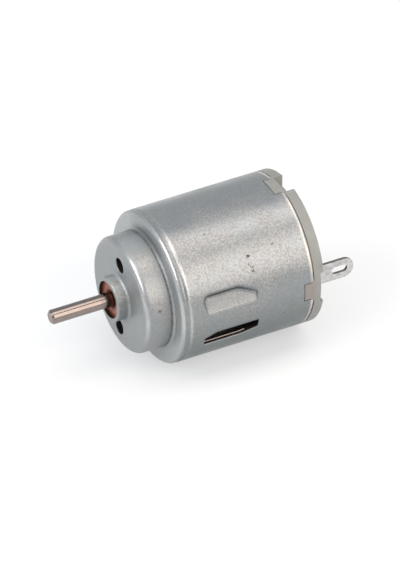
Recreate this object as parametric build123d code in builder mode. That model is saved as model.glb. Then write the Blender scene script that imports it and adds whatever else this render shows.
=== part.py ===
from build123d import *
import math
import os

# Small brushed DC motor: a round steel can, two ferrite arcs and a three-pole rotor.
# Lengths in millimetres, angles in degrees. +X points out along the shaft and +Z is up.
# The origin is the centre of the nose face. Angles about the shaft start at +Y and turn towards +Z.

# Can
can_diameter = 21.0
can_wall = 0.8
can_length = 23.5
shoulder_step = 2.5
nose_length = 4.05
nose_edge_radius = 0.9
shoulder_radius = 0.7
root_radius = 0.4
inside_radius = 0.15
groove_width = 0.75
groove_depth = 0.16
groove_setback = 0.78
rim_radius = 0.35
boss_diameter = 6.15
boss_length = 1.7
boss_wall = 0.5
boss_rim_radius = 0.15
vent_diameter = 2.1
vent_web = 0.875
vent_edge_radius = 0.1

# Pierced slot and pressed dents, half way along the magnets
window_setback = 0.175
slot_margin = 1.475
slot_width = 1.95
slot_corner_radius = 0.15
slot_angle = -16.7
slot_front_run = 1.7
slot_front_drop = 0.7
slot_rear_run = 2.45
slot_rear_drop = 0.55
dent_margin = 1.775
dent_width = 2.3
dent_front_radius = 0.45
dent_rear_radius = 0.4
dent_slope_run = 2.6
dent_slope_drop = 1.1
dent_slope_radius = 1.0
dent_toe = 0.55
dent_heel = 0.02
dent_angle = 12.9
dent_draft = 45.0
dent_backing = 0.15
dent_floor_radius = 0.3
stop_clearance = 0.1

# Notches in the rear rim and the lugs of the end cap in them
top_notch_width = 3.4
side_notch_width = 2.75
notch_depth = 1.55
notch_mouth_radius = 0.6
notch_corner_radius = 0.12
lug_clearance = 0.1

# Shaft, bush and washers
shaft_diameter = 2.0
shaft_overhang = 8.5
shaft_chamfer = 0.25
running_clearance = 0.02
bush_length = 3.6
bush_recess = 0.45
bush_chamfer = 0.3
washer_diameter = 3.8
washer_thickness = 0.3
spacer_diameter = 3.4
end_play = 0.1

# Magnets and their spring
magnet_share = 0.268
magnet_to_skirt = 1.7
magnet_edge_angle = 38.0
magnet_chamfer = 0.2
spring_wire = 0.7
spring_length = 8.3
spring_bend_radius = 1.2
spring_clearance = 0.1

# Rotor core, end plates and windings
pole_count = 3
first_pole_angle = 90.0
air_gap = 0.35
core_inset = 1.5
core_hub_share = 0.355
tooth_share = 0.355
shoe_share = 0.15
slot_opening = 1.4
plate_thickness = 0.3
plate_inset = 0.15
coil_share = 0.18
coil_overhang = 1.5
coil_corner_radius = 1.0
coil_edge_radius = 0.45
coil_edge_share = 0.45
coil_clearance = 0.08

# Commutator
commutator_diameter = 4.4
commutator_length = 3.6
segment_thickness = 0.4
segment_gap = 0.3
riser_width = 1.3
riser_height = 1.1
riser_thickness = 0.35
lock_ring_wall = 0.45
lock_ring_length = 0.6
hub_collar_diameter = 4.0
hub_flange_thickness = 0.5

# End cap
skirt_length = 5.2
skirt_wall = 1.55
floor_setback = 1.0
flange_thickness = 1.45
flange_edge_radius = 0.2
rim_width = 2.0
rim_recess = 0.8
rim_notch_depth = 0.55
rim_notch_width = 4.8
rear_hub_diameter = 6.6
rear_hub_height = 1.2
rear_hub_radius = 0.4
shaft_end_setback = 0.3

# Terminals and brushes
terminal_width = 3.0
terminal_thickness = 0.4
terminal_reach = 5.65
terminal_clearance = 0.1
eye_length = 2.3
eye_width = 1.1
eye_margin = 0.95
brush_thickness = 0.12
brush_width = 1.8
brush_slit = 0.2
brush_gap = 0.06
brush_bend_radius = 0.8
brush_arm_height = 4.4
brush_tip_length = 1.8
brush_tip_flare = 0.5
brush_foot_rise = 2.2
brush_foot_margin = 0.2

# Radii
can_radius = can_diameter / 2
can_bore_radius = can_radius - can_wall
nose_radius = can_radius - shoulder_step
boss_radius = boss_diameter / 2
vent_radius = vent_diameter / 2
vent_distance = boss_radius + vent_web + vent_radius
bush_radius = boss_radius - boss_wall
shaft_radius = shaft_diameter / 2
bearing_radius = shaft_radius + running_clearance
magnet_bore_radius = can_bore_radius * (1 - magnet_share)
core_radius = magnet_bore_radius - air_gap
core_hub_radius = core_hub_share * core_radius
tooth_width = tooth_share * core_radius
shoe_thickness = shoe_share * core_radius
coil_build = coil_share * core_radius
shoe_bore_radius = core_radius - shoe_thickness
commutator_radius = commutator_diameter / 2
drum_radius = commutator_radius - segment_thickness
skirt_bore_radius = can_bore_radius - skirt_wall

# Stations along the shaft, front to rear
bush_front = boss_length - bush_recess
bush_rear = bush_front - bush_length
front_washer_rear = bush_rear - end_play - washer_thickness
shoulder_inside = -nose_length - can_wall
spring_bar = shoulder_inside - spring_clearance - spring_wire / 2
magnet_front = spring_bar - spring_wire / 2 - spring_clearance
skirt_front = -can_length + skirt_length
magnet_length = magnet_front - magnet_to_skirt - skirt_front
core_middle = magnet_front - magnet_length / 2
core_length = magnet_length - 2 * core_inset
window_middle = core_middle - window_setback
core_front = core_middle + core_length / 2
core_rear = core_middle - core_length / 2
floor_inside = -can_length + floor_setback
flange_rear = -can_length - flange_thickness
floor_outside = flange_rear + rim_recess
rear_hub_end = flange_rear - rear_hub_height
drum_rear = floor_inside + end_play + washer_thickness
drum_front = drum_rear + commutator_length
lock_ring_rear = drum_front - riser_thickness - lock_ring_length
brush_middle = (lock_ring_rear + drum_rear) / 2

# Places across the shaft
terminal_outer = math.sqrt(skirt_bore_radius**2 - (terminal_width / 2) ** 2) - terminal_clearance
terminal_inner = terminal_outer - terminal_thickness
terminal_front = brush_middle + brush_width / 2 + brush_foot_margin
terminal_tip = flange_rear - terminal_reach


def radial_plane(x, distance, angle, lean=0.0):
    """Plane facing away from the shaft at the angle, leaning some degrees on; its x runs to the rear."""
    place = math.radians(angle)
    aim = math.radians(angle + lean)
    return Plane(
        origin=(x, distance * math.cos(place), distance * math.sin(place)),
        x_dir=(-1, 0, 0),
        z_dir=(0, math.cos(aim), math.sin(aim)),
    )


def ring_sector(inner_radius, outer_radius, middle_angle, arc):
    """Face between two radii, spread evenly about an angle."""
    with BuildLine() as outline:
        outer = CenterArc((0, 0), outer_radius, middle_angle - arc / 2, arc)
        inner = CenterArc((0, 0), inner_radius, middle_angle - arc / 2, arc)
        Line(outer @ 0, inner @ 0)
        Line(outer @ 1, inner @ 1)
    make_face(outline.edges())


def ring(x, length, inner_radius, outer_radius):
    """Plain tube along the shaft, from its rear end forwards."""
    with BuildSketch(Plane.YZ.offset(x)) as profile:
        Circle(outer_radius)
        Circle(inner_radius, mode=Mode.SUBTRACT)
    extrude(profile.sketch, amount=length)


def pole_outline(outer_radius, shoe, tooth, hub_radius, opening):
    """Three-pole lamination: hub, teeth and shoes, with the shaft's hole."""
    Circle(outer_radius)
    Circle(outer_radius - shoe, mode=Mode.SUBTRACT)
    with PolarLocations(0, pole_count, start_angle=first_pole_angle + 180 / pole_count):
        Rectangle(2 * outer_radius, opening, align=(Align.MIN, Align.CENTER), mode=Mode.SUBTRACT)
    with PolarLocations(0, pole_count, start_angle=first_pole_angle):
        Rectangle(outer_radius - shoe / 2, tooth, align=(Align.MIN, Align.CENTER))
    Circle(hub_radius)
    Circle(shaft_radius, mode=Mode.SUBTRACT)


def notch_outline(width, depth, corner, mouth):
    """Notch into a rim, drawn from the rim's edge, with a rounded mouth."""
    with BuildLine() as outline:
        FilletPolyline(
            (-depth, -width / 2),
            (-depth, width / 2),
            (0, width / 2),
            (0, width / 2 + 2 * mouth),
            (mouth, width / 2 + 2 * mouth),
            (mouth, -width / 2 - 2 * mouth),
            (0, -width / 2 - 2 * mouth),
            (0, -width / 2),
            radius=[corner, corner, mouth, 0, 0, 0, 0, mouth],
            close=True,
        )
    make_face(outline.edges())


# Can: drawn in one piece from sheet, with its nose, the boss for the bush and a groove behind the shoulder
slot_length = magnet_length - 2 * slot_margin
dent_length = magnet_length - 2 * dent_margin
groove_radius = (groove_width**2 / 4 + groove_depth**2) / (2 * groove_depth)
dent_sag = can_radius - math.sqrt(can_radius**2 - (dent_width / 2) ** 2)
dent_distance = can_radius - dent_sag - (dent_toe + dent_heel) / 2
dent_lean = math.degrees(math.atan((dent_toe - dent_heel) / dent_width))
bulge_length = dent_length + can_wall
bulge_width = dent_width + can_wall
stop_reach = bulge_width / 2 + stop_clearance
stop_angle = magnet_edge_angle - math.degrees(math.atan(stop_reach / (can_bore_radius - dent_toe)))
notch_places = [
    (0, side_notch_width),
    (90, top_notch_width),
    (180, side_notch_width),
    (270, top_notch_width),
]
dent_places = [(dent_angle, 1), (180 - stop_angle, -1), (180 + stop_angle, 1)]
with BuildPart() as can:
    with BuildSketch(Plane.XY):
        with BuildLine():
            FilletPolyline(
                (boss_length, 0),
                (boss_length, boss_radius),
                (0, boss_radius),
                (0, nose_radius),
                (-nose_length, nose_radius),
                (-nose_length, can_radius),
                (-can_length, can_radius),
                (-can_length, 0),
                radius=[
                    0,
                    boss_rim_radius,
                    root_radius,
                    nose_edge_radius,
                    root_radius,
                    shoulder_radius,
                    rim_radius,
                    0,
                ],
                close=True,
            )
        make_face()
    revolve(axis=Axis.X)
    with BuildSketch(Plane.XY):
        with BuildLine():
            FilletPolyline(
                (-can_wall, 0),
                (-can_wall, nose_radius - can_wall),
                (shoulder_inside, nose_radius - can_wall),
                (shoulder_inside, can_bore_radius),
                (-can_length, can_bore_radius),
                (-can_length, 0),
                radius=[
                    0,
                    max(nose_edge_radius - can_wall, inside_radius),
                    root_radius + can_wall,
                    max(shoulder_radius - can_wall, inside_radius),
                    0,
                    0,
                ],
                close=True,
            )
        make_face()
    revolve(axis=Axis.X, mode=Mode.SUBTRACT)
    with BuildSketch(Plane.XY):
        with Locations((-nose_length - groove_setback, can_radius - groove_depth + groove_radius)):
            Circle(groove_radius)
    revolve(axis=Axis.X, mode=Mode.SUBTRACT)
    with BuildSketch(Plane.YZ.offset(boss_length)):
        Circle(bush_radius)
    extrude(amount=-boss_length - 2 * can_wall, mode=Mode.SUBTRACT)
    with BuildSketch(Plane.YZ):
        with Locations((0, vent_distance), (0, -vent_distance)):
            Circle(vent_radius)
    extrude(amount=-2 * can_wall, mode=Mode.SUBTRACT)
    fillet(can.edges(Select.LAST).filter_by(GeomType.CIRCLE).group_by(Axis.X)[-1], vent_edge_radius)
    for angle, toe_side in dent_places:
        floor = radial_plane(window_middle, dent_distance, angle, toe_side * dent_lean)
        with BuildSketch(floor.offset(-can_wall)):
            RectangleRounded(bulge_length, bulge_width, dent_front_radius)
        extrude(amount=can_wall - dent_backing)
        with BuildPart(mode=Mode.PRIVATE) as punch:
            with BuildSketch(floor):
                with BuildLine():
                    FilletPolyline(
                        (-dent_length / 2, -toe_side * dent_width / 2),
                        (dent_length / 2, -toe_side * dent_width / 2),
                        (dent_length / 2, toe_side * (dent_width / 2 - dent_slope_drop)),
                        (dent_length / 2 - dent_slope_run, toe_side * dent_width / 2),
                        (-dent_length / 2, toe_side * dent_width / 2),
                        radius=[
                            dent_front_radius,
                            dent_rear_radius,
                            dent_rear_radius,
                            dent_slope_radius,
                            dent_front_radius,
                        ],
                        close=True,
                    )
                make_face()
            extrude(amount=2 * can_wall, taper=-dent_draft)
            nib = punch.faces().sort_by(Axis((0, 0, 0), tuple(floor.z_dir)))[0]
            fillet(nib.edges(), dent_floor_radius)
        add(punch.part, mode=Mode.SUBTRACT)
    with BuildSketch(radial_plane(window_middle, 0, slot_angle)):
        with BuildLine():
            FilletPolyline(
                (-slot_length / 2, -slot_width / 2),
                (slot_length / 2 - slot_rear_run, -slot_width / 2),
                (slot_length / 2, slot_rear_drop - slot_width / 2),
                (slot_length / 2, slot_width / 2),
                (slot_front_run - slot_length / 2, slot_width / 2),
                (-slot_length / 2, slot_width / 2 - slot_front_drop),
                radius=slot_corner_radius,
                close=True,
            )
        make_face()
    extrude(amount=can_diameter, mode=Mode.SUBTRACT)
    for angle, width in notch_places:
        with BuildSketch(radial_plane(-can_length, 0, angle)):
            notch_outline(width, notch_depth, notch_corner_radius, notch_mouth_radius)
        extrude(amount=can_diameter, mode=Mode.SUBTRACT)

# Bush: sintered sleeve pressed into the boss, sunk a little below its rim
with BuildPart() as front_bush:
    ring(bush_rear, bush_length, bearing_radius, bush_radius)
    mouth = front_bush.edges().filter_by(GeomType.CIRCLE).group_by(SortBy.RADIUS)[0]
    chamfer(mouth, bush_chamfer)

# Shaft: ground pin from the chamfered tip to the bearing in the end cap
with BuildPart() as shaft:
    with BuildSketch(Plane.YZ.offset(rear_hub_end + shaft_end_setback)):
        Circle(shaft_radius)
    extrude(amount=boss_length + shaft_overhang - rear_hub_end - shaft_end_setback)
    chamfer(shaft.edges().filter_by(GeomType.CIRCLE), shaft_chamfer)

# Washers and spacer that keep the rotor's place between the two bearings
with BuildPart() as front_washer:
    ring(front_washer_rear, washer_thickness, shaft_radius, washer_diameter / 2)
with BuildPart() as rear_washer:
    ring(floor_inside + end_play, washer_thickness, shaft_radius, washer_diameter / 2)
front_plate_face = core_front + plate_thickness
with BuildPart() as front_spacer:
    ring(front_plate_face, front_washer_rear - front_plate_face, shaft_radius, spacer_diameter / 2)

# Magnets: ferrite arcs against the bore of the can, above and below the shaft
magnet_arc = 180 - 2 * magnet_edge_angle
with BuildPart() as upper_magnet:
    with BuildSketch(Plane.YZ.offset(magnet_front - magnet_length)):
        ring_sector(magnet_bore_radius, can_bore_radius, 90, magnet_arc)
    extrude(amount=magnet_length)
    chamfer(upper_magnet.edges().filter_by(Axis.X), magnet_chamfer)
with BuildPart() as lower_magnet:
    with BuildSketch(Plane.YZ.offset(magnet_front - magnet_length)):
        ring_sector(magnet_bore_radius, can_bore_radius, 270, magnet_arc)
    extrude(amount=magnet_length)
    chamfer(lower_magnet.edges().filter_by(Axis.X), magnet_chamfer)

# Spring: wire clip that spreads the magnets apart on the near side
wire_radius = spring_wire / 2
wire_seat = can_bore_radius - wire_radius - spring_clearance
edge_angle = math.radians(magnet_edge_angle)
along_edge = math.sqrt(wire_seat**2 - wire_radius**2)
leg_side = along_edge * math.cos(edge_angle) + wire_radius * math.sin(edge_angle)
leg_height = along_edge * math.sin(edge_angle) - wire_radius * math.cos(edge_angle)
with BuildPart() as magnet_spring:
    with BuildLine() as spring_path:
        FilletPolyline(
            (spring_bar - spring_length, leg_side, leg_height),
            (spring_bar, leg_side, leg_height),
            (spring_bar, leg_side, -leg_height),
            (spring_bar - spring_length, leg_side, -leg_height),
            radius=spring_bend_radius,
        )
    with BuildSketch(Plane(spring_path.line @ 0, z_dir=spring_path.line % 0)):
        Circle(wire_radius)
    sweep()

# Core: stacked laminations pressed on the shaft, with a fibre plate on each end
with BuildPart() as core:
    with BuildSketch(Plane.YZ.offset(core_rear)):
        pole_outline(core_radius, shoe_thickness, tooth_width, core_hub_radius, slot_opening)
    extrude(amount=core_length)
plate_shape = (
    core_radius - plate_inset,
    shoe_thickness - plate_inset,
    tooth_width,
    core_hub_radius,
    slot_opening + 2 * plate_inset,
)
with BuildPart() as front_insulator:
    with BuildSketch(Plane.YZ.offset(core_front)):
        pole_outline(*plate_shape)
    extrude(amount=plate_thickness)
with BuildPart() as rear_insulator:
    with BuildSketch(Plane.YZ.offset(core_rear - plate_thickness)):
        pole_outline(*plate_shape)
    extrude(amount=plate_thickness)

# Windings: one round each tooth, between the hub and the shoe
coil_window_length = core_length + 2 * plate_thickness + 2 * coil_clearance
coil_window_width = tooth_width + 2 * coil_clearance
coil_width = coil_window_width + 2 * coil_build
coil_root = core_hub_radius + coil_clearance
coil_crown = math.sqrt(shoe_bore_radius**2 - (coil_width / 2) ** 2) - coil_clearance
coil_rounding = min(coil_edge_radius, coil_edge_share * (coil_crown - coil_root))
coils = []
for number in range(pole_count):
    pole_angle = first_pole_angle + number * 360 / pole_count
    root_plane = radial_plane(core_middle, 0, pole_angle).offset(coil_root)
    with BuildPart() as coil:
        with BuildSketch(root_plane):
            RectangleRounded(coil_window_length + 2 * coil_overhang, coil_width, coil_corner_radius)
            Rectangle(coil_window_length, coil_window_width, mode=Mode.SUBTRACT)
        extrude(amount=coil_crown - coil_root)
        ends = coil.faces().sort_by(Axis((0, 0, 0), tuple(root_plane.z_dir)))
        fillet(ends[0].outer_wire().edges() + ends[-1].outer_wire().edges(), coil_rounding)
    coils.append(coil)

# Commutator: moulded hub with a collar up to the core, three copper bars and a locking ring
with BuildPart() as commutator_hub:
    ring(drum_rear, commutator_length, shaft_radius, drum_radius)
    ring(drum_front, hub_flange_thickness, shaft_radius, commutator_radius + riser_height)
    collar_front = core_rear - plate_thickness
    collar_rear = drum_front + hub_flange_thickness
    ring(collar_rear, collar_front - collar_rear, shaft_radius, hub_collar_diameter / 2)
segment_arc = 360 / pole_count - math.degrees(segment_gap / commutator_radius)
segments = []
for number in range(pole_count):
    segment_angle = first_pole_angle + (number + 0.5) * 360 / pole_count
    with BuildPart() as segment:
        with BuildSketch(Plane.YZ.offset(drum_rear)):
            ring_sector(drum_radius, commutator_radius, segment_angle, segment_arc)
        extrude(amount=commutator_length)
        with BuildSketch(radial_plane(drum_front - riser_thickness / 2, drum_radius, segment_angle)):
            Rectangle(riser_thickness, riser_width)
        extrude(amount=segment_thickness + riser_height)
    segments.append(segment)
with BuildPart() as commutator_ring:
    ring(lock_ring_rear, lock_ring_length, commutator_radius, commutator_radius + lock_ring_wall)

# End cap: skirt inside the can, flange over its rim, lugs in the notches and the rear bearing
lug_inner_radius = can_bore_radius - skirt_wall / 2
with BuildPart() as lugs:
    for angle, width in notch_places:
        with BuildSketch(radial_plane(-can_length, lug_inner_radius / 2, angle)):
            notch_outline(
                width - 2 * lug_clearance,
                notch_depth - lug_clearance,
                notch_corner_radius,
                notch_mouth_radius + lug_clearance,
            )
        extrude(amount=can_radius)
    with BuildSketch(Plane.YZ.offset(-can_length)):
        Circle(can_radius)
        Circle(lug_inner_radius, mode=Mode.SUBTRACT)
    extrude(amount=notch_depth, mode=Mode.INTERSECT)
with BuildPart() as end_cap:
    add(lugs.part)
    ring(-can_length, skirt_length, skirt_bore_radius, can_bore_radius)
    ring(floor_outside, floor_inside - floor_outside, bearing_radius, can_bore_radius)
    ring(flange_rear, flange_thickness, can_radius - rim_width, can_radius)
    flange_edge = end_cap.faces().sort_by(Axis.X)[0].outer_wire().edges()
    fillet(flange_edge, flange_edge_radius)
    ring(rear_hub_end, floor_inside - rear_hub_end, bearing_radius, rear_hub_diameter / 2)
    hub_edge = end_cap.faces().sort_by(Axis.X)[0].outer_wire().edges()
    fillet(hub_edge, rear_hub_radius)
    with BuildSketch(Plane.YZ.offset(flange_rear)):
        with Locations((0, can_radius), (0, -can_radius)):
            Rectangle(top_notch_width, 2 * rim_width)
    extrude(amount=flange_thickness, mode=Mode.SUBTRACT)
    with BuildSketch(Plane.YZ.offset(flange_rear)):
        with Locations((can_radius, 0), (-can_radius, 0)):
            Rectangle(2 * rim_width, rim_notch_width)
    extrude(amount=rim_notch_depth, mode=Mode.SUBTRACT)
    with BuildSketch(Plane.YZ.offset(floor_outside)):
        with Locations((terminal_outer, 0), (-terminal_outer, 0)):
            Rectangle(2 * terminal_thickness, terminal_width)
        Rectangle(2 * terminal_inner, terminal_width, mode=Mode.SUBTRACT)
        Circle(can_radius - rim_width, mode=Mode.INTERSECT)
    extrude(amount=floor_inside - floor_outside, mode=Mode.SUBTRACT)

# Terminals and brushes: a tag through the floor on each side, with a sprung leaf on its inner end
terminals = []
brushes = []
contact = commutator_radius + brush_gap + brush_thickness / 2
foot = terminal_inner - brush_thickness / 2
for turn in (0, 180):
    side = Plane.XY.rotated((turn, 0, 0))
    with BuildPart() as terminal:
        with BuildSketch(Plane(side.y_dir * terminal_inner, x_dir=(1, 0, 0), z_dir=side.y_dir)):
            with Locations((terminal_tip + terminal_width / 2, 0)):
                Circle(terminal_width / 2)
                Rectangle(
                    terminal_front - terminal_tip - terminal_width / 2,
                    terminal_width,
                    align=(Align.MIN, Align.CENTER),
                )
            with Locations((terminal_tip + eye_margin + eye_length / 2, 0)):
                SlotOverall(eye_length, eye_width, mode=Mode.SUBTRACT)
        extrude(amount=terminal_thickness)
    terminals.append(terminal)
    leaf_plane = Plane((brush_middle - brush_width / 2, 0, 0), x_dir=side.y_dir, z_dir=(1, 0, 0))
    with BuildPart() as brush:
        with BuildSketch(leaf_plane):
            with BuildLine():
                FilletPolyline(
                    (foot, brush_foot_margin - terminal_width / 2),
                    (foot, brush_foot_rise),
                    (contact, brush_arm_height),
                    (contact, -brush_tip_length / 2),
                    (contact + brush_tip_flare, -brush_tip_length),
                    radius=brush_bend_radius,
                )
            trace(line_width=brush_thickness)
        extrude(amount=brush_width)
        with BuildSketch(Plane((brush_middle, 0, 0), x_dir=side.y_dir, z_dir=side.z_dir)):
            Rectangle(2 * contact + 4 * brush_bend_radius, brush_slit)
        extrude(amount=brush_arm_height - 2 * brush_bend_radius, both=True, mode=Mode.SUBTRACT)
    brushes.append(brush)

pieces = {
    "can": can,
    "front_bush": front_bush,
    "shaft": shaft,
    "front_washer": front_washer,
    "rear_washer": rear_washer,
    "front_spacer": front_spacer,
    "upper_magnet": upper_magnet,
    "lower_magnet": lower_magnet,
    "magnet_spring": magnet_spring,
    "core": core,
    "front_insulator": front_insulator,
    "rear_insulator": rear_insulator,
    "commutator_hub": commutator_hub,
    "commutator_ring": commutator_ring,
    "end_cap": end_cap,
    "near_terminal": terminals[0],
    "far_terminal": terminals[1],
    "near_brush": brushes[0],
    "far_brush": brushes[1],
}
for number in range(pole_count):
    pieces[f"coil_{number + 1}"] = coils[number]
    pieces[f"commutator_segment_{number + 1}"] = segments[number]

os.makedirs("parts", exist_ok=True)
for name, piece in pieces.items():
    piece.part.label = name
    export_step(piece.part, f"parts/{name}.step")
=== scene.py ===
import bpy
import math
from mathutils import Matrix, Vector


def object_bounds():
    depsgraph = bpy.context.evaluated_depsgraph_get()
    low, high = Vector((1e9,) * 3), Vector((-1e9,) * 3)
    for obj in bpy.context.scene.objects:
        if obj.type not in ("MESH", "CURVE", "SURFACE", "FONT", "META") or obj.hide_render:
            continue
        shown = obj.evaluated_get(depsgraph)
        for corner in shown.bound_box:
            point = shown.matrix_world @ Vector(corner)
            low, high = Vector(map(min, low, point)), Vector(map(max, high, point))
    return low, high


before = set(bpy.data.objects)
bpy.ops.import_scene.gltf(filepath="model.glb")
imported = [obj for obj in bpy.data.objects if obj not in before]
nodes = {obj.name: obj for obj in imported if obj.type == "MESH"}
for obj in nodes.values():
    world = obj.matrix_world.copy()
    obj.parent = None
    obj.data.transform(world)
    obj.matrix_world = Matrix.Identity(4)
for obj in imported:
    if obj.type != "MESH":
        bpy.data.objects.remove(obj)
cadBox = [list(corner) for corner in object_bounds()]
scene = bpy.context.scene
scene.view_settings.view_transform = "Standard"
mm = 0.001
noiseMiddle = 0.5
mostNoise = (0.35, 0.65)   # most of a noise texture's values lie between these
allNoise = (0.3, 0.7)      # and nearly all of them between these
print("frame loaded,", len(nodes), "nodes")


def linearColour(hexText):   # by the sRGB curve
    channels = [int(hexText[i:i + 2], 16) / 255 for i in (1, 3, 5)]
    return [c / 12.92 if c <= 0.04045 else ((c + 0.055) / 1.055) ** 2.4 for c in channels] + [1.0]


def addNode(tree, kind, settings=None, values=None, links=None):
    node = tree.nodes.new("ShaderNode" + kind)
    for name, value in (settings or {}).items():
        setattr(node, name, value)
    for socket, value in (values or {}).items():
        node.inputs[socket].default_value = value
    for socket, source in (links or {}).items():
        if isinstance(source, bpy.types.Node):
            source = source.outputs[0]   # a node by itself stands for its first output
        tree.links.new(source, node.inputs[socket])
    return node


def startMaterial(name):
    material = bpy.data.materials.new(name)
    material.use_nodes = True
    tree = material.node_tree
    tree.nodes.clear()
    coordinates = addNode(tree, "TexCoord")
    place = addNode(tree, "VectorMath", {"operation": "SCALE"}, {"Scale": 1 / mm},
                    {0: coordinates.outputs["Object"]})   # from here on every pattern is in millimetres
    return material, tree, place, coordinates.outputs["Normal"]


def dress(material, shader, *pieces):
    addNode(material.node_tree, "OutputMaterial", links={"Surface": shader})
    for piece in pieces:
        nodes[piece].data.materials.clear()
        nodes[piece].data.materials.append(material)
    print(material.name, "on", len(pieces), "pieces")


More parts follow.
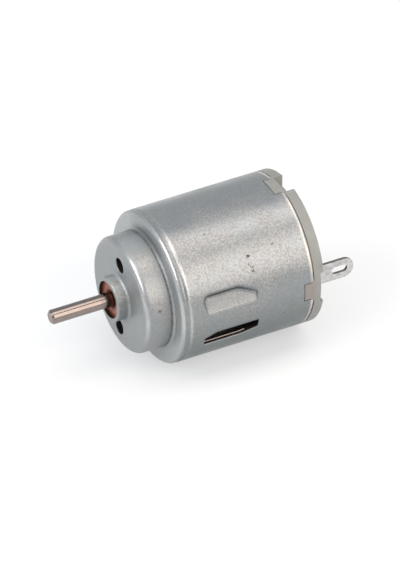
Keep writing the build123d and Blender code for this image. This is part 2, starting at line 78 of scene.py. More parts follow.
# zinc-plated drawn steel: dull satin grey, sparkling a little in the light, blue where the plating is thick
canLook = {
    "colour": "#9ea2a3", "blueTint": "#80878a", "warmTint": "#8d8d8b", "metallic": 0.65,
    "shadeUnderneath": (0.46, 0.52, 0.52, 1.0),   # painted shade: darker on the side that faces the floor
    "noseLight": (1.05, 1.30),           # painted light: the nose brighter, and more so along its crest
    "faceLight": 1.10,                   # painted light on the nose's face
    "dentShadeGain": 0.88,                   # painted shade in the dents
    "noseRoughness": 0.43, "bossRoughness": 0.44,
    "tintSize": 3.2,                    # mm across a patch of tint
    "grainSize": 0.24, "grainHeight": 0.020,   # mm, crystals of the plating, drawn coarser than real ones
    "drawLineWidth": 0.22, "drawLineLength": 2.75, "drawLineHeight": 0.0025,   # mm, die marks on the barrel
    "ringPitch": 0.5, "ringHeight": 0.003,     # mm, pressing rings on the nose's face
    "edgeSoftness": 0.12, "dentSoftness": 0.40,   # mm, pressed sheet has no sharp edge
    "barrelRadius": 10.5, "noseRadius": 8.0, "noseEnd": -4.0,   # mm, the surfaces that the scuffs are on
    "scuffs": [(-14.8, 41.0, 0.28), (-14.6, 35.2, 0.16), (-15.0, 32.8, 0.24), (-15.0, 29.8, 0.22),
               (-15.2, 28.1, 0.14), (-18.6, 44.6, 0.19), (-17.9, 19.2, 0.12), (-20.4, 33.1, 0.12),
               (-10.2, 65.8, 0.16), (-2.0, 14.4, 0.22)],   # x in mm, angle in degrees, reach in mm
    "scuffRaggedness": 0.9, "scuffCore": 0.5,   # mm, and the share of the reach that is dark all over
    "speckColour": "#3d3833", "speckShare": 0.32,   # the scuffs' colour too, and how many specks there are
    "speckSpacing": 3.2, "speckRadius": 0.11, "speckCore": 0.0384,   # mm
    "highlightColour": "#c3c5c5", "highlightRoughness": 0.22, "highlightCore": 0.05,   # painted highlights on the bends' crowns
    "highlightLines": [(-0.26, 7.74, 0.5, 1.0), (-3.96, 8.3, 0.2, 0.7), (-4.25, 10.3, 0.35, 0.9),
                  (-5.32, 10.5, 0.3, 0.75)],   # x, radius and reach in mm, strength
    "shadeColour": "#2d2b29",           # painted shade in the root of the nose, the dents' creases, the slot's upper lips and the notches
    "rimHighlightColour": "#dcd8d0",             # painted highlight on the rim's edge
    "interiorShadeColour": "#3a3936",          # painted shade inside the can
    "slotWallShadeColour": "#322d29",           # torn steel of the slot's walls, painted dark as shade
    "burnishHighlightColour": "#f2e8e1", "burnishMetallic": 0.1,   # its smooth band, painted near-white as a highlight, scattering more than it mirrors
    "gaps": {   # distance from a line: what is measured, and where the line is
        "highlightGap": ("angle", math.radians(37.0)),    # the side where the highlights are painted
        "grainGap": ("angle", math.radians(46.0)),   # the side with the coarsest grain
        "rootGap": ("x", -3.68),                     # the root of the nose
        "bandGap": ("radius", 10.06),                # the smooth band of the slot's edge
    },
    "zones": {   # in a zone or not: what is measured, the zone's middle and its reach
        "besideSlot": ("angle", math.radians(-16.7), math.radians(6.5)),
        "alongSlot": ("x", -11.5, 4.5),              # the dents lie in it too
        "onShoulder": ("x", -4.1, 0.3),
    },
    "limits": {   # past a limit or not: what is measured, the side that counts, and the limit
        "lowerSide": ("upward", "GREATER_THAN", 0.5),   # of the slot's edge
        "beforeEnd": ("x", "GREATER_THAN", -13.6),      # the smooth band stops short of the slot's end
        "facesBack": ("forward", "LESS_THAN", -0.3),
        "aheadOfSlot": ("x", "GREATER_THAN", -7.0),
        "notGroove": ("facing", "LESS_THAN", 0.5),      # the ring groove has a wall that faces back too
        "nearShaft": ("radius", "LESS_THAN", 6.2),      # the vents are nearer
        "belowFace": ("x", "LESS_THAN", -0.12),         # where a vent's wall starts
        "onCorner": ("radius", "LESS_THAN", 8.6),       # the root's corner ends there
        "atNotches": ("x", "LESS_THAN", -20.0),
    },
    "fades": {   # what is measured, where the fade starts and ends, and the amounts there
        "onFace": ("x", -0.12, -0.02, 0.0, 1.0),
        "onNose": ("x", -4.7, -4.1, 0.0, 1.0),
        "onBarrel": ("x", -4.2, -5.2, 0.0, 1.0),
        # the rim's edge, where its highlight is painted
        "atRim": ("x", -22.85, -23.15, 0.0, 1.0),
        "outsideNose": ("radius", 8.0, 8.6, 0.0, 1.0),
        "onBoss": ("radius", 3.9, 3.3, 0.0, 1.0),
        "nearBoss": ("radius", 5.0, 3.6, 0.0, 1.0),
        "overNose": ("radius", 9.2, 8.4, 0.0, 0.45),      # a crescent of painted shade over the nose, at its root
        "deep": ("radius", 10.42, 10.1, 0.0, 1.0),        # the dents' floors
        "sunk": ("radius", 10.49, 10.3, 0.0, 1.0),        # painted shade deepens towards them
        "shaded": ("tilt", 0.35, -0.1, 0.25, 1.0),        # and lies on the dents' upper walls
        "atEnd": ("forward", -0.3, 0.0, 0.3, 1.0),        # with less of it at their front ends
        "edgeOn": ("facing", 0.93, 0.7, 0.0, 1.0),        # walls of the slot and the dents
        "facesOut": ("facing", 0.5, 0.75, 0.0, 1.0),      # the outer skin, not the rim's end
        "sideways": ("facing", 0.5, 0.2, 0.0, 1.0),       # walls of the notches, where shade is painted
        "turnedIn": ("facing", -0.1, -0.4, 0.0, 1.0),
        "crestSide": ("facing", 0.8, 0.95, 0.0, 1.0),
        "facesForward": ("forward", 0.5, 0.9, 0.0, 1.0),
        "atCrest": ("height", 0.95, 0.995, 0.0, 1.0),
        "lowDown": ("height", 0.08, -0.62, 0.0, 1.0),
        "shoulderLight": ("height", 0.8, 0.96, 1.45, 1.15),   # painted light on the shoulder, less at its top
        "topOfBoss": ("upward", 0.35, 0.95, 1.0, 1.35),      # and painted light on the top of the boss
        "leansUp": ("lipTilt", 0.10, 0.45, 0.0, 0.8),     # lips that face up get a painted highlight
        "leansDown": ("lipTilt", -0.10, -0.45, 0.0, 0.7),   # and those that face down get painted shade
        "band": ("bandGap", 0.085, 0.051, 0.0, 1.0),
        "highlightPatches": ("tint", 0.3, 0.6, 0.35, 1.0),          # the painted highlights come in patches
        "blueToWarm": ("tint", *mostNoise, 0.0, 1.0),
        "roughness": ("tint", *allNoise, 0.27, 0.42),
        "grainSpread": ("tint", 0.38, 0.62, 0.19, 0.06),  # crystals, from hardly seen to clear
        "shadePatch": ("grain", 0.36, 0.56, 0.2, 0.7),    # painted shade in the nose's root, in patches
        "drawnTwice": ("x", -4.7, -4.1, 1.0, 1.7),        # the nose is that much smoother
    },
    "softFades": {   # the same with soft ends
        "litSide": ("highlightGap", math.radians(64.0), math.radians(32.0), 0.12, 1.0),
        "aside": ("grainGap", math.radians(22.0), math.radians(44.0), 1.0, 2.2),   # smoother off that side
        "nearRoot": ("rootGap", 0.2, 0.05, 0.0, 1.0),
        "atTop": ("height", 0.8, 0.98, 0.0, 1.0),
    },
}
material, tree, place, normal = startMaterial("zinc_plated_drawn_steel")
axes = addNode(tree, "SeparateXYZ", links={0: place})
across = addNode(tree, "VectorMath", {"operation": "MULTIPLY"}, {1: (0, 1, 1)}, {0: place})
radius = addNode(tree, "VectorMath", {"operation": "LENGTH"}, links={0: across})
angle = addNode(tree, "Math", {"operation": "ARCTAN2"}, links={0: axes.outputs["Z"], 1: axes.outputs["Y"]})
outward = addNode(tree, "VectorMath", {"operation": "NORMALIZE"}, links={0: across})
upwards = addNode(tree, "VectorMath", {"operation": "CROSS_PRODUCT"}, {0: (1, 0, 0)}, {1: outward})
height = addNode(tree, "SeparateXYZ", links={0: outward})
lean = addNode(tree, "SeparateXYZ", links={0: normal})
facing = addNode(tree, "VectorMath", {"operation": "DOT_PRODUCT"}, links={0: normal, 1: outward})
tilt = addNode(tree, "VectorMath", {"operation": "DOT_PRODUCT"}, links={0: normal, 1: upwards})
# the lips of the slot and the dents, rolled in by the punch: there the softened normal leaves the true one
dentEdges = addNode(tree, "Bevel", {"samples": 8}, {"Radius": canLook["dentSoftness"] * mm})
rolledTilt = addNode(tree, "VectorMath", {"operation": "DOT_PRODUCT"}, links={0: dentEdges, 1: upwards})
lipTilt = addNode(tree, "Math", {"operation": "SUBTRACT"},
                  links={0: rolledTilt.outputs["Value"], 1: tilt.outputs["Value"]})
tint = addNode(tree, "TexNoise", values={"Scale": 1 / canLook["tintSize"], "Detail": 3.0},
               links={"Vector": place})
grain = addNode(tree, "TexNoise",
                values={"Scale": 1 / canLook["grainSize"], "Detail": 2.0, "Roughness": 0.6},
                links={"Vector": place})
marks = {   # what is measured: mm along and from the shaft, radians round it, the rest from 0 or -1 to 1
    "x": axes.outputs["X"], "radius": radius.outputs["Value"],
    "angle": angle, "height": height.outputs["Z"],
    "forward": lean.outputs["X"], "upward": lean.outputs["Z"],   # which way the surface faces
    "facing": facing.outputs["Value"],   # away from the shaft
    "tilt": tilt.outputs["Value"],       # and up round it
    "lipTilt": lipTilt, "tint": tint.outputs["Fac"], "grain": grain.outputs["Fac"],
}
for name, (measure, middle) in canLook["gaps"].items():
    away = addNode(tree, "Math", {"operation": "SUBTRACT"}, {1: middle}, {0: marks[measure]})
    marks[name] = addNode(tree, "Math", {"operation": "ABSOLUTE"}, links={0: away})
for name, (measure, middle, reach) in canLook["zones"].items():
    marks[name] = addNode(tree, "Math", {"operation": "COMPARE"}, {1: middle, 2: reach},
                          {0: marks[measure]})
for name, (measure, side, limit) in canLook["limits"].items():
    marks[name] = addNode(tree, "Math", {"operation": side}, {1: limit}, {0: marks[measure]})
for interpolation, group in (("LINEAR", "fades"), ("SMOOTHSTEP", "softFades")):
    for name, (measure, start, end, startAmount, endAmount) in canLook[group].items():
        marks[name] = addNode(tree, "MapRange", {"interpolation_type": interpolation},
                              {"From Min": start, "From Max": end,
                               "To Min": startAmount, "To Max": endAmount},
                              {"Value": marks[measure]})

# painted highlights on the bends
section = addNode(tree, "CombineXYZ", links={"X": marks["x"], "Y": marks["radius"]})
crowns = None
for x, r, reach, strength in canLook["highlightLines"]:
    gap = addNode(tree, "VectorMath", {"operation": "DISTANCE"}, {1: (x, r, 0)}, {0: section})
    crown = addNode(tree, "MapRange", {"interpolation_type": "SMOOTHSTEP"},
                    {"From Min": reach, "From Max": canLook["highlightCore"], "To Max": strength},
                    {"Value": gap.outputs["Value"]})
    crowns = crown if crowns is None else addNode(tree, "Math", {"operation": "MAXIMUM"},
                                                  links={0: crowns, 1: crown})
marks["crowns"] = crowns

# scuffs where the photograph shows them, their edges pushed about by the grain
push = Vector((1, 1, 1)) * canLook["scuffRaggedness"]
ragged = addNode(tree, "VectorMath", {"operation": "MULTIPLY_ADD"}, {1: push},
                 {0: grain.outputs["Color"], 2: place})
scuffs = None
for x, degrees, reach in canLook["scuffs"]:
    r = canLook["noseRadius"] if x > canLook["noseEnd"] else canLook["barrelRadius"]
    middle = Vector((x, r * math.cos(math.radians(degrees)), r * math.sin(math.radians(degrees))))
    gap = addNode(tree, "VectorMath", {"operation": "DISTANCE"}, {1: middle + push * noiseMiddle},
                  {0: ragged})
    scuff = addNode(tree, "MapRange", values={"From Min": reach, "From Max": reach * canLook["scuffCore"]},
                    links={"Value": gap.outputs["Value"]})
    scuffs = scuff if scuffs is None else addNode(tree, "Math", {"operation": "MAXIMUM"},
                                                  links={0: scuffs, 1: scuff})
marks["scuffs"] = scuffs

# small dark specks here and there
cells = addNode(tree, "TexVoronoi", values={"Scale": 1 / canLook["speckSpacing"]}, links={"Vector": place})
pick = addNode(tree, "SeparateColor", links={0: cells.outputs["Color"]})
marks["chosen"] = addNode(tree, "Math", {"operation": "GREATER_THAN"}, {1: 1 - canLook["speckShare"]},
                          {0: pick.outputs["Red"]})
marks["spots"] = addNode(tree, "MapRange", {"interpolation_type": "SMOOTHSTEP"},
                         {"From Min": canLook["speckRadius"] / canLook["speckSpacing"],
                          "From Max": canLook["speckCore"] / canLook["speckSpacing"]},
                         {"Value": cells.outputs["Distance"]})

# heights of the die marks along the barrel and the rings on the nose's face
around = addNode(tree, "Math", {"operation": "MULTIPLY"}, {1: canLook["barrelRadius"]}, {0: angle})
unrolled = addNode(tree, "CombineXYZ", links={"X": marks["x"], "Y": around})
stretched = addNode(tree, "VectorMath", {"operation": "MULTIPLY"},
                    {1: (1 / canLook["drawLineLength"], 1 / canLook["drawLineWidth"], 1)}, {0: unrolled})
drawLines = addNode(tree, "TexNoise", values={"Scale": 1.0, "Detail": 2.0}, links={"Vector": stretched})
turns = addNode(tree, "Math", {"operation": "MULTIPLY"}, {1: 2 * math.pi / canLook["ringPitch"]},
                {0: marks["radius"]})
marks["ringWave"] = addNode(tree, "Math", {"operation": "SINE"}, links={0: turns})

pairs = {   # two marks into one: MULTIPLY where both hold, MAXIMUM either, SUBTRACT the first alone
    "rings": ("ringWave", "MULTIPLY", "onFace"),
    "specks": ("spots", "MULTIPLY", "chosen"),
    "specksAndScuffs": ("specks", "MAXIMUM", "scuffs"),
    "rimEdge": ("facesOut", "MULTIPLY", "atRim"),
    "rimHighlight": ("rimEdge", "MULTIPLY", "highlightPatches"),
    # the slot's sheared edge: painted shade on its torn walls, with a painted highlight on one smooth band
    "atSlot": ("besideSlot", "MULTIPLY", "alongSlot"),
    "sheared": ("edgeOn", "MULTIPLY", "atSlot"),
    "lowerBand": ("band", "MULTIPLY", "lowerSide"),
    "burnishAndHighlight": ("lowerBand", "MULTIPLY", "beforeEnd"),
    "burnishAndHighlightWall": ("burnishAndHighlight", "MULTIPLY", "sheared"),
    # the dents and the lips
    "inDent": ("deep", "MULTIPLY", "alongSlot"),
    "steep": ("edgeOn", "MULTIPLY", "alongSlot"),
    "dentWall": ("steep", "SUBTRACT", "sheared"),
    "upperWall": ("dentWall", "MULTIPLY", "shaded"),
    "shadedWall": ("upperWall", "MULTIPLY", "atEnd"),
    "crease": ("shadedWall", "MULTIPLY", "sunk"),
    "lowerLip": ("leansUp", "MULTIPLY", "alongSlot"),
    "upperLip": ("leansDown", "MULTIPLY", "alongSlot"),
    # painted highlights
    "patchyCrowns": ("crowns", "MULTIPLY", "highlightPatches"),
    "litCrowns": ("patchyCrowns", "MULTIPLY", "litSide"),
    "paintedHighlight": ("litCrowns", "MAXIMUM", "lowerLip"),
    # painted shade on the inside: the back of the nose, the walls of the vents and everything that faces
    # the shaft
    "noseBack": ("facesBack", "MULTIPLY", "aheadOfSlot"),
    "behindNose": ("noseBack", "MULTIPLY", "notGroove"),
    "ventWall": ("nearShaft", "MULTIPLY", "belowFace"),
    "hidden": ("behindNose", "MAXIMUM", "ventWall"),
    "inside": ("hidden", "MAXIMUM", "turnedIn"),
    # painted shade
    "rootPatch": ("nearRoot", "MULTIPLY", "shadePatch"),
    "rootCornerShade": ("rootPatch", "MULTIPLY", "onCorner"),
    "shoulderTop": ("onShoulder", "MULTIPLY", "atTop"),
    "crescent": ("overNose", "MULTIPLY", "shoulderTop"),
    "rootShade": ("rootCornerShade", "MAXIMUM", "crescent"),
    "dentShading": ("crease", "MAXIMUM", "upperLip"),
    "rootAndDents": ("rootShade", "MAXIMUM", "dentShading"),
    "notchWall": ("sideways", "MULTIPLY", "atNotches"),
    "paintedShade": ("rootAndDents", "MAXIMUM", "notchWall"),
    # plating, and where its painted light and shade go
    "smoothness": ("drawnTwice", "MULTIPLY", "aside"),
    "calmed": ("grainSpread", "MULTIPLY", "smoothness"),
    "crest": ("atCrest", "MULTIPLY", "crestSide"),
    "shadedUnderside": ("lowDown", "MULTIPLY", "onBarrel"),
}
for name, (first, operation, second) in pairs.items():
    marks[name] = addNode(tree, "Math", {"operation": operation}, links={0: marks[first], 1: marks[second]})

# the plating's colour: crystals over patches of tint, with painted shade underneath and in the dents, and
# painted light on the nose, its faces and the boss's top
tinted = addNode(tree, "Mix", {"data_type": "RGBA"},
                 {6: linearColour(canLook["blueTint"]), 7: linearColour(canLook["warmTint"])},
                 {0: marks["blueToWarm"]})
lowest = addNode(tree, "Math", {"operation": "SUBTRACT"}, {0: noiseMiddle}, {1: marks["calmed"]})
highest = addNode(tree, "Math", {"operation": "ADD"}, {0: noiseMiddle}, {1: marks["calmed"]})
grained = addNode(tree, "MapRange",
                  links={"Value": marks["grain"], "From Min": lowest, "From Max": highest})
plated = addNode(tree, "Mix", {"data_type": "RGBA"}, {7: linearColour(canLook["colour"])},
                 {0: grained, 6: tinted.outputs[2]})
# painted shade on the underside
underShading = addNode(tree, "Mix", {"data_type": "RGBA"}, {6: (1, 1, 1, 1), 7: canLook["shadeUnderneath"]},
                  {0: marks["shadedUnderside"]})
underShaded = addNode(tree, "VectorMath", {"operation": "MULTIPLY"},
                 links={0: plated.outputs[2], 1: underShading.outputs[2]})
noseLight = addNode(tree, "MapRange",
                   values={"To Min": canLook["noseLight"][0], "To Max": canLook["noseLight"][1]},
                   links={"Value": marks["crest"]})
onNose = addNode(tree, "MapRange", values={"To Min": 1.0},
                 links={"Value": marks["onNose"], "To Max": noseLight})
faceLight = addNode(tree, "MapRange", values={"To Min": canLook["faceLight"]},
                   links={"Value": marks["outsideNose"], "To Max": marks["shoulderLight"]})
onFaces = addNode(tree, "MapRange", values={"To Min": 1.0},
                  links={"Value": marks["facesForward"], "To Max": faceLight})
onBoss = addNode(tree, "MapRange", values={"To Min": 1.0},
                 links={"Value": marks["onBoss"], "To Max": marks["topOfBoss"]})
inDents = addNode(tree, "MapRange", values={"To Min": 1.0, "To Max": canLook["dentShadeGain"]},
                  links={"Value": marks["inDent"]})
# painted light and shade: brighter nose, faces and boss top, darker dents
gain = onNose
for other in (onFaces, onBoss, inDents):
    gain = addNode(tree, "Math", {"operation": "MULTIPLY"}, links={0: gain, 1: other})
brightened = addNode(tree, "VectorMath", {"operation": "SCALE"}, links={0: underShaded, "Scale": gain})

# what lies over it, from the lowest layer up: painted shade, painted highlights, specks and scuffs, the
# rim's painted highlight, the painted shade inside
colour = brightened.outputs[0]
for amount, layer in (("paintedShade", "shadeColour"), ("paintedHighlight", "highlightColour"), ("specksAndScuffs", "speckColour"),
                      ("rimHighlight", "rimHighlightColour"), ("inside", "interiorShadeColour")):
    laid = addNode(tree, "Mix", {"data_type": "RGBA"}, {7: linearColour(canLook[layer])},
                   {0: marks[amount], 6: colour})
    colour = laid.outputs[2]
shear = addNode(tree, "Mix", {"data_type": "RGBA"},
                {6: linearColour(canLook["slotWallShadeColour"]), 7: linearColour(canLook["burnishHighlightColour"])},
                {0: marks["burnishAndHighlight"]})
coloured = addNode(tree, "Mix", {"data_type": "RGBA"},
                   links={0: marks["sheared"], 6: colour, 7: shear.outputs[2]})
rough = marks["roughness"]
for amount, layer in (("onNose", "noseRoughness"), ("nearBoss", "bossRoughness"),
                      ("paintedHighlight", "highlightRoughness")):
    rough = addNode(tree, "Mix", {"data_type": "FLOAT"}, {3: canLook[layer]}, {0: marks[amount], 2: rough})
metal = addNode(tree, "Mix", {"data_type": "FLOAT"},
                {2: canLook["metallic"], 3: canLook["burnishMetallic"]}, {0: marks["burnishAndHighlightWall"]})
cleanEdges = addNode(tree, "Bevel", {"samples": 6}, {"Radius": canLook["edgeSoftness"] * mm})
softEdges = addNode(tree, "Mix", {"data_type": "VECTOR"},
                    links={0: marks["alongSlot"], 4: cleanEdges, 5: dentEdges})
grainStrength = addNode(tree, "Math", {"operation": "DIVIDE"}, {0: 1.0}, {1: marks["smoothness"]})
grainRelief = addNode(tree, "Bump", values={"Distance": canLook["grainHeight"] * mm},
                      links={"Strength": grainStrength, "Height": marks["grain"],
                             "Normal": softEdges.outputs[1]})
lineRelief = addNode(tree, "Bump", values={"Strength": 1.0, "Distance": canLook["drawLineHeight"] * mm},
                     links={"Height": drawLines.outputs["Fac"], "Normal": grainRelief})
ringRelief = addNode(tree, "Bump", values={"Strength": 1.0, "Distance": canLook["ringHeight"] * mm},
                     links={"Height": marks["rings"], "Normal": lineRelief})
shader = addNode(tree, "BsdfPrincipled",
                 links={"Base Color": coloured.outputs[2], "Metallic": metal, "Roughness": rough,
                        "Normal": ringRelief})
dress(material, shader, "can")

# sintered bronze: oil-dark and matt, with open pores between the pressed grains
bushLook = {
    "colour": "#b3705f", "grainColour": "#985843", "poreColour": "#552f24",
    "oilColour": "#5e3013", "darkReach": (1.15, 1.75),   # mm from the shaft's axis, darkened fully round the shaft to not at all
    "grainSize": 0.35, "poreSize": 0.22,   # mm, pores drawn about twice their real size so that they show
    "poreEdge": (0.34, 0.16),              # shares of that size, from a pore's edge to its bottom
    "poreHeight": 0.02, "poreRelief": 0.6, "roughness": (0.36, 0.55), "metallic": 0.7,
}
material, tree, place = startMaterial("sintered_bronze")[:3]
grain = addNode(tree, "TexNoise", values={"Scale": 1 / bushLook["grainSize"], "Detail": 3.0},
                links={"Vector": place})
cells = addNode(tree, "TexVoronoi", values={"Scale": 1 / bushLook["poreSize"]}, links={"Vector": place})
pore = addNode(tree, "MapRange", {"interpolation_type": "SMOOTHSTEP"},
               {"From Min": bushLook["poreEdge"][0], "From Max": bushLook["poreEdge"][1]},
               {"Value": cells.outputs["Distance"]})
pressed = addNode(tree, "Mix", {"data_type": "RGBA"},
                  {6: linearColour(bushLook["colour"]), 7: linearColour(bushLook["grainColour"])},
                  {0: grain.outputs["Fac"]})
pored = addNode(tree, "Mix", {"data_type": "RGBA"}, {7: linearColour(bushLook["poreColour"])},
                {0: pore, 6: pressed.outputs[2]})
across = addNode(tree, "VectorMath", {"operation": "MULTIPLY"}, {1: (0, 1, 1)}, {0: place})
radius = addNode(tree, "VectorMath", {"operation": "LENGTH"}, links={0: across})
# darker round the shaft
darkRing = addNode(tree, "MapRange", {"interpolation_type": "SMOOTHSTEP"},
                {"From Min": bushLook["darkReach"][1], "From Max": bushLook["darkReach"][0]},
                {"Value": radius.outputs["Value"]})
oiled = addNode(tree, "Mix", {"data_type": "RGBA"}, {7: linearColour(bushLook["oilColour"])},
                {0: darkRing, 6: pored.outputs[2]})
rough = addNode(tree, "MapRange",
                values={"To Min": bushLook["roughness"][0], "To Max": bushLook["roughness"][1]},
                links={"Value": pore})
relief = addNode(tree, "Bump", {"invert": True},
                 {"Strength": bushLook["poreRelief"], "Distance": bushLook["poreHeight"] * mm},
                 {"Height": pore})
shader = addNode(tree, "BsdfPrincipled", values={"Metallic": bushLook["metallic"]},
                 links={"Base Color": oiled.outputs[2], "Roughness": rough, "Normal": relief})
dress(material, shader, "front_bush")

# ground steel: bright lines along the pin, crossed by the grinding wheel's marks, warm from a film of oil
shaftLook = {
    "colour": "#9b908b", "oilColour": "#857a74",
    "markWidth": 0.16, "markLength": 2.857, "markHeight": 0.0012,   # mm, wheel marks drawn coarser to show
    "oilSize": 1.6,                        # mm across a patch of the film
    "roughness": (0.155, 0.255), "metallic": 1.0,
}
material, tree, place = startMaterial("ground_steel")[:3]
rounds = addNode(tree, "VectorMath", {"operation": "DIVIDE"},
                 {1: (shaftLook["markWidth"], shaftLook["markLength"], shaftLook["markLength"])},
                 {0: place})
wheelMarks = addNode(tree, "TexNoise", values={"Scale": 1.0, "Detail": 2.0, "Roughness": 0.6},
                     links={"Vector": rounds})
film = addNode(tree, "TexNoise", values={"Scale": 1 / shaftLook["oilSize"], "Detail": 3.0},
               links={"Vector": place})
coloured = addNode(tree, "Mix", {"data_type": "RGBA"},
                   {6: linearColour(shaftLook["colour"]), 7: linearColour(shaftLook["oilColour"])},
                   {0: film.outputs["Fac"]})
rough = addNode(tree, "MapRange",
                values={"From Min": allNoise[0], "From Max": allNoise[1],
                        "To Min": shaftLook["roughness"][0], "To Max": shaftLook["roughness"][1]},
                links={"Value": wheelMarks.outputs["Fac"]})
relief = addNode(tree, "Bump", values={"Strength": 1.0, "Distance": shaftLook["markHeight"] * mm},
                 links={"Height": wheelMarks.outputs["Fac"]})
shader = addNode(tree, "BsdfPrincipled", values={"Metallic": shaftLook["metallic"]},
                 links={"Base Color": coloured.outputs[2], "Roughness": rough, "Normal": relief})
dress(material, shader, "shaft")

# natural nylon, moulded: greyish and a little see-through, with soft flow marks and a fine eroded texture
capLook = {
    "colour": "#969894", "flowColour": "#90928e",
    "lugColour": "#948e89",             # the thin near lug lets the warm inside show through
    "lugStart": (-23.8, -23.3), "lugSide": 8.0,   # mm, x where it fades in and y where it starts
    "topShade": 0.85, "lightBelow": 1.17,   # painted shade on top, painted light below
    "shadeLean": (0.9, -0.2),          # how far a surface faces up, from the one to the other
    "flowSize": 3.0, "textureSize": 0.18, "textureHeight": 0.006,   # mm
    "roughness": (0.40, 0.52), "ior": 1.53,
    "scatter": 0.15, "scatterDepth": 0.6, "scatterTint": (1.0, 0.95, 0.85),   # depth in mm
}
material, tree, place, normal = startMaterial("natural_nylon_moulded")
flow = addNode(tree, "TexNoise",
               values={"Scale": 1 / capLook["flowSize"], "Detail": 2.0, "Distortion": 0.8},
               links={"Vector": place})
erosion = addNode(tree, "TexNoise", values={"Scale": 1 / capLook["textureSize"], "Detail": 2.0},
                  links={"Vector": place})
flowRange = addNode(tree, "MapRange", values={"From Min": mostNoise[0], "From Max": mostNoise[1]},
                    links={"Value": flow.outputs["Fac"]})
moulded = addNode(tree, "Mix", {"data_type": "RGBA"},
                  {6: linearColour(capLook["colour"]), 7: linearColour(capLook["flowColour"])},
                  {0: flowRange})
axes = addNode(tree, "SeparateXYZ", links={0: place})
onLugs = addNode(tree, "MapRange",
                 values={"From Min": capLook["lugStart"][0], "From Max": capLook["lugStart"][1]},
                 links={"Value": axes.outputs["X"]})
atSide = addNode(tree, "Math", {"operation": "GREATER_THAN"}, {1: capLook["lugSide"]},
                 {0: axes.outputs["Y"]})
onNearLug = addNode(tree, "Math", {"operation": "MULTIPLY"}, links={0: onLugs, 1: atSide})
coloured = addNode(tree, "Mix", {"data_type": "RGBA"}, {7: linearColour(capLook["lugColour"])},
                   {0: onNearLug, 6: moulded.outputs[2]})
lean = addNode(tree, "SeparateXYZ", links={0: normal})
# painted shade on top and painted light below, by which way the surface faces
leanShade = addNode(tree, "MapRange",
                  values={"From Min": capLook["shadeLean"][0], "From Max": capLook["shadeLean"][1],
                          "To Min": capLook["topShade"], "To Max": capLook["lightBelow"]},
                  links={"Value": lean.outputs["Z"]})
leanShaded = addNode(tree, "VectorMath", {"operation": "SCALE"},
                 links={0: coloured.outputs[2], "Scale": leanShade})
rough = addNode(tree, "MapRange",
                values={"From Min": allNoise[0], "From Max": allNoise[1],
                        "To Min": capLook["roughness"][0], "To Max": capLook["roughness"][1]},
                links={"Value": erosion.outputs["Fac"]})
relief = addNode(tree, "Bump", values={"Strength": 1.0, "Distance": capLook["textureHeight"] * mm},
                 links={"Height": erosion.outputs["Fac"]})
shader = addNode(tree, "BsdfPrincipled",
                 values={"IOR": capLook["ior"], "Subsurface Weight": capLook["scatter"],
                         "Subsurface Scale": capLook["scatterDepth"] * mm,
                         "Subsurface Radius": capLook["scatterTint"]},
                 links={"Base Color": leanShaded, "Roughness": rough, "Normal": relief})
dress(material, shader, "end_cap")

# tinned brass, sheared from strip: soft white metal, slightly streaked where the tin ran along the strip
terminalLook = {
    "colour": "#d3d2d1", "streakColour": "#b4b3b2",
    "edgeShadeColour": "#85817d", "edgeLean": (0.9, 0.5),   # sheared edges, left untinned and painted darker as shade, don't face sideways
    "streakWidth": 0.3, "streakLength": 0.6, "streakHeight": 0.006,   # mm
    "roughness": (0.28, 0.40), "metallic": 1.0,
}
material, tree, place, normal = startMaterial("tinned_brass")
along = addNode(tree, "VectorMath", {"operation": "DIVIDE"},
                {1: (terminalLook["streakLength"], terminalLook["streakWidth"],
                     terminalLook["streakWidth"])}, {0: place})
streaks = addNode(tree, "TexNoise", values={"Scale": 1.0, "Detail": 3.0}, links={"Vector": along})
streakRange = addNode(tree, "MapRange", values={"From Min": mostNoise[0], "From Max": mostNoise[1]},
                      links={"Value": streaks.outputs["Fac"]})
tinned = addNode(tree, "Mix", {"data_type": "RGBA"},
                 {6: linearColour(terminalLook["colour"]), 7: linearColour(terminalLook["streakColour"])},
                 {0: streakRange})
lean = addNode(tree, "SeparateXYZ", links={0: normal})
sideOn = addNode(tree, "Math", {"operation": "ABSOLUTE"}, links={0: lean.outputs["Y"]})
edge = addNode(tree, "MapRange",
               values={"From Min": terminalLook["edgeLean"][0], "From Max": terminalLook["edgeLean"][1]},
               links={"Value": sideOn})
coloured = addNode(tree, "Mix", {"data_type": "RGBA"}, {7: linearColour(terminalLook["edgeShadeColour"])},
                   {0: edge, 6: tinned.outputs[2]})
rough = addNode(tree, "MapRange",
                values={"From Min": allNoise[0], "From Max": allNoise[1],
                        "To Min": terminalLook["roughness"][0], "To Max": terminalLook["roughness"][1]},
                links={"Value": streaks.outputs["Fac"]})
relief = addNode(tree, "Bump", values={"Strength": 1.0, "Distance": terminalLook["streakHeight"] * mm},
                 links={"Height": streaks.outputs["Fac"]})
shader = addNode(tree, "BsdfPrincipled", values={"Metallic": terminalLook["metallic"]},
                 links={"Base Color": coloured.outputs[2], "Roughness": rough, "Normal": relief})
dress(material, shader, "near_terminal", "far_terminal")

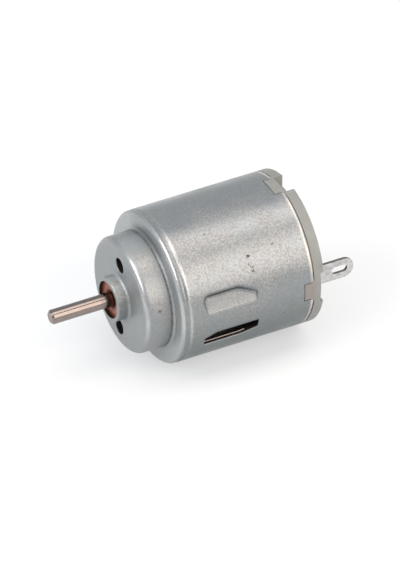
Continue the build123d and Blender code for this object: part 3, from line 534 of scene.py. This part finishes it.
# the pieces inside: two close colours in a grain of the real size, with gloss and relief from that grain
insideRange = (0.32, 0.68)   # the grain's noise goes from one colour to the other between these
insideLooks = {   # grain along x, y and z and its height in mm
    # bright wire, streaked along its length by the drawing die
    "spring_wire_drawn": {
        "pieces": ["magnet_spring"], "colours": ("#efe2d6", "#d8c8ba"),
        "metallic": 1.0, "roughness": (0.34, 0.46), "grain": (0.9, 0.12, 0.12), "height": 0.002},
    # dull dark grey, grainy as fired clay
    "sintered_ferrite": {
        "pieces": ["upper_magnet", "lower_magnet"], "colours": ("#62615d", "#4c4b48"),
        "metallic": 0.0, "roughness": (0.5, 0.7), "grain": (0.3, 0.3, 0.3), "height": 0.012},
    # thin light and dark bands across the stack, one for each 0.5 mm sheet
    "stamped_laminations": {
        "pieces": ["core"], "colours": ("#84878b", "#5c5f63"),
        "metallic": 1.0, "roughness": (0.34, 0.5), "grain": (0.5, 9.0, 9.0), "height": 0.03},
    # matt brown card with short fibres in it
    "pressed_fibre": {
        "pieces": ["front_insulator", "rear_insulator"], "colours": ("#8d5c3d", "#6a4129"),
        "metallic": 0.0, "roughness": (0.62, 0.8), "grain": (0.25, 0.9, 0.25), "height": 0.01},
    # glossy brown-red wire, bumpy turn by turn
    "enamelled_copper_wound": {
        "pieces": ["coil_1", "coil_2", "coil_3"], "colours": ("#b5652f", "#8a4319"),
        "metallic": 1.0, "roughness": (0.22, 0.36), "grain": (0.25, 0.25, 0.25), "height": 0.06},
    # bright copper with the tool's marks round the bars
    "turned_copper": {
        "pieces": ["commutator_segment_1", "commutator_segment_2", "commutator_segment_3"],
        "colours": ("#cd8d6b", "#b06f4c"),
        "metallic": 1.0, "roughness": (0.18, 0.34), "grain": (0.12, 4.0, 4.0), "height": 0.003},
    # golden strip, faintly lined along its length by the rolls
    "phosphor_bronze_rolled": {
        "pieces": ["near_brush", "far_brush"], "colours": ("#c79a6d", "#a87d50"),
        "metallic": 1.0, "roughness": (0.22, 0.36), "grain": (1.6, 0.2, 0.2), "height": 0.002},
    # milky white with a soft sheen
    "white_nylon_moulded": {
        "pieces": ["front_washer", "rear_washer", "front_spacer"], "colours": ("#dcdbd6", "#cfcdc6"),
        "metallic": 0.0, "roughness": (0.4, 0.52), "grain": (0.6, 0.6, 0.6), "height": 0.004},
    # dark brown with a hard low gloss, mottled by its filler
    "phenolic_moulded": {
        "pieces": ["commutator_hub", "commutator_ring"], "colours": ("#4b3023", "#35211a"),
        "metallic": 0.0, "roughness": (0.32, 0.46), "grain": (0.4, 0.4, 0.4), "height": 0.006},
}
for finishName, look in insideLooks.items():
    material, tree, place = startMaterial(finishName)[:3]
    scaled = addNode(tree, "VectorMath", {"operation": "DIVIDE"}, {1: look["grain"]}, {0: place})
    grain = addNode(tree, "TexNoise", values={"Scale": 1.0, "Detail": 3.0}, links={"Vector": scaled})
    shade = addNode(tree, "MapRange", values={"From Min": insideRange[0], "From Max": insideRange[1]},
                    links={"Value": grain.outputs["Fac"]})
    coloured = addNode(tree, "Mix", {"data_type": "RGBA"},
                       {6: linearColour(look["colours"][0]), 7: linearColour(look["colours"][1])},
                       {0: shade})
    rough = addNode(tree, "MapRange",
                    values={"To Min": look["roughness"][0], "To Max": look["roughness"][1]},
                    links={"Value": shade})
    relief = addNode(tree, "Bump", values={"Strength": 1.0, "Distance": look["height"] * mm},
                     links={"Height": grain.outputs["Fac"]})
    shader = addNode(tree, "BsdfPrincipled", values={"Metallic": look["metallic"]},
                     links={"Base Color": coloured.outputs[2], "Roughness": rough, "Normal": relief})
    dress(material, shader, *look["pieces"])

studio = {
    "floorSize": 4.0,                # m
    "floorColour": "#aaadaf",
    "whiteLift": 0.49,               # how much brighter the floor looks to the camera and in mirrors
    "worldColour": "#dfe5ec", "roomStrength": 0.45, "backdropStrength": 0.76,   # camera's side and far side
    "backdropTowards": (-0.3, -0.95, 0.1), "backdropEdge": (-0.6, 0.5),   # where it is, and how it fades in
}
floorHeight = cadBox[0][2]
half = studio["floorSize"] / 2
floorMesh = bpy.data.meshes.new("floor")
floorMesh.from_pydata([(-half, -half, floorHeight), (half, -half, floorHeight), (half, half, floorHeight),
                       (-half, half, floorHeight)], [], [(0, 1, 2, 3)])
floor = bpy.data.objects.new("floor", floorMesh)
scene.collection.objects.link(floor)
floorMaterial = bpy.data.materials.new("white_card")   # matt, so it shows only the motor's shadow
floorMaterial.use_nodes = True
floorTree = floorMaterial.node_tree
floorTree.nodes.clear()
card = addNode(floorTree, "BsdfDiffuse", values={"Color": linearColour(studio["floorColour"])})
path = addNode(floorTree, "LightPath")
mirrored = addNode(floorTree, "Math", {"operation": "MAXIMUM"},
                   links={0: path.outputs["Is Glossy Ray"], 1: path.outputs["Is Transmission Ray"]})
seen = addNode(floorTree, "Math", {"operation": "MAXIMUM"},
               links={0: path.outputs["Is Camera Ray"], 1: mirrored})
lift = addNode(floorTree, "Math", {"operation": "MULTIPLY"}, {1: studio["whiteLift"]}, {0: seen})
glow = addNode(floorTree, "Emission", links={"Strength": lift})
both = addNode(floorTree, "AddShader", links={0: card, 1: glow})
addNode(floorTree, "OutputMaterial", links={"Surface": both})
floorMesh.materials.append(floorMaterial)

world = bpy.data.worlds.new("studio")
world.use_nodes = True
worldTree = world.node_tree
worldTree.nodes.clear()
direction = addNode(worldTree, "TexCoord")
farSide = addNode(worldTree, "VectorMath", {"operation": "DOT_PRODUCT"}, {1: studio["backdropTowards"]},
                  {0: direction.outputs["Generated"]})
strength = addNode(worldTree, "MapRange", {"interpolation_type": "SMOOTHSTEP"},
                   {"From Min": studio["backdropEdge"][0], "From Max": studio["backdropEdge"][1],
                    "To Min": studio["roomStrength"], "To Max": studio["backdropStrength"]},
                   {"Value": farSide.outputs["Value"]})
sky = addNode(worldTree, "Background", values={"Color": linearColour(studio["worldColour"])},
              links={"Strength": strength})
addNode(worldTree, "OutputWorld", links={"Surface": sky})
scene.world = world

softboxes = {   # direction from the motor, distance, length and height in m, brightness of its face, colour
    "nearSoftbox": {"towards": (-0.36, 0.775, 0.518), "distance": 0.6, "size": (0.5, 0.50),
                    "brightness": 2.8, "colour": "#fff1e7"},
    "topSoftbox": {"towards": (-0.08, 0.06, 0.97), "distance": 0.6, "size": (1.3, 0.30),
                   "brightness": 2.42, "colour": "#fff1e7"},
    "frontSoftbox": {"towards": (0.78, 0.14, 0.61), "distance": 0.6, "size": (0.26, 0.55),
                     "brightness": 4.2, "colour": "#ffffff"},
}
for name, box in softboxes.items():
    lamp = bpy.data.lights.new(name, "AREA")
    lamp.shape = "RECTANGLE"
    lamp.size, lamp.size_y = box["size"]
    lamp.energy = box["brightness"] * math.pi * lamp.size * lamp.size_y   # W
    lamp.color = linearColour(box["colour"])[:3]
    holder = bpy.data.objects.new(name, lamp)
    away = Vector(box["towards"]).normalized()
    lengthwise = (Vector((1, 0, 0)) - away * away.x).normalized()   # its length lies along the shaft
    holder.matrix_world = Matrix((lengthwise, away.cross(lengthwise), away)).transposed().to_4x4()
    holder.location = away * box["distance"]
    holder.visible_camera = False
    scene.collection.objects.link(holder)
print("studio lit by", len(softboxes), "softboxes")

view = {   # the photograph's camera, fitted to the can's edges
    "azimuth": 152.4223, "elevation": 37.277, "roll": 0.3928,   # degrees
    "distance": 1189.0, "asideRight": 10.558, "asideUp": 1.549,   # mm
    "focalPixels": 9056.6, "imageHeight": 570, "sensorHeight": 24.0,   # pixels, and mm
    "clipEnd": 20.0,   # m
}
azimuth = math.radians(view["azimuth"])
elevation = math.radians(view["elevation"])
roll = math.radians(view["roll"])
back = Vector((math.sin(azimuth) * math.cos(elevation), -math.cos(azimuth) * math.cos(elevation),
               math.sin(elevation)))
right = Vector((0, 0, 1)).cross(back).normalized()
up = back.cross(right)
eye = (back * view["distance"] + right * view["asideRight"] + up * view["asideUp"]) * mm
camera = bpy.data.objects.new("camera", bpy.data.cameras.new("camera"))
camera.data.sensor_fit = "VERTICAL"
camera.data.sensor_height = view["sensorHeight"]
camera.data.lens = view["focalPixels"] * view["sensorHeight"] / view["imageHeight"]
camera.data.clip_end = view["clipEnd"]
turned = (right * math.cos(roll) + up * math.sin(roll), up * math.cos(roll) - right * math.sin(roll), back)
camera.matrix_world = Matrix.Translation(eye) @ Matrix(turned).transposed().to_4x4()
scene.collection.objects.link(camera)
scene.camera = camera
print("camera set")
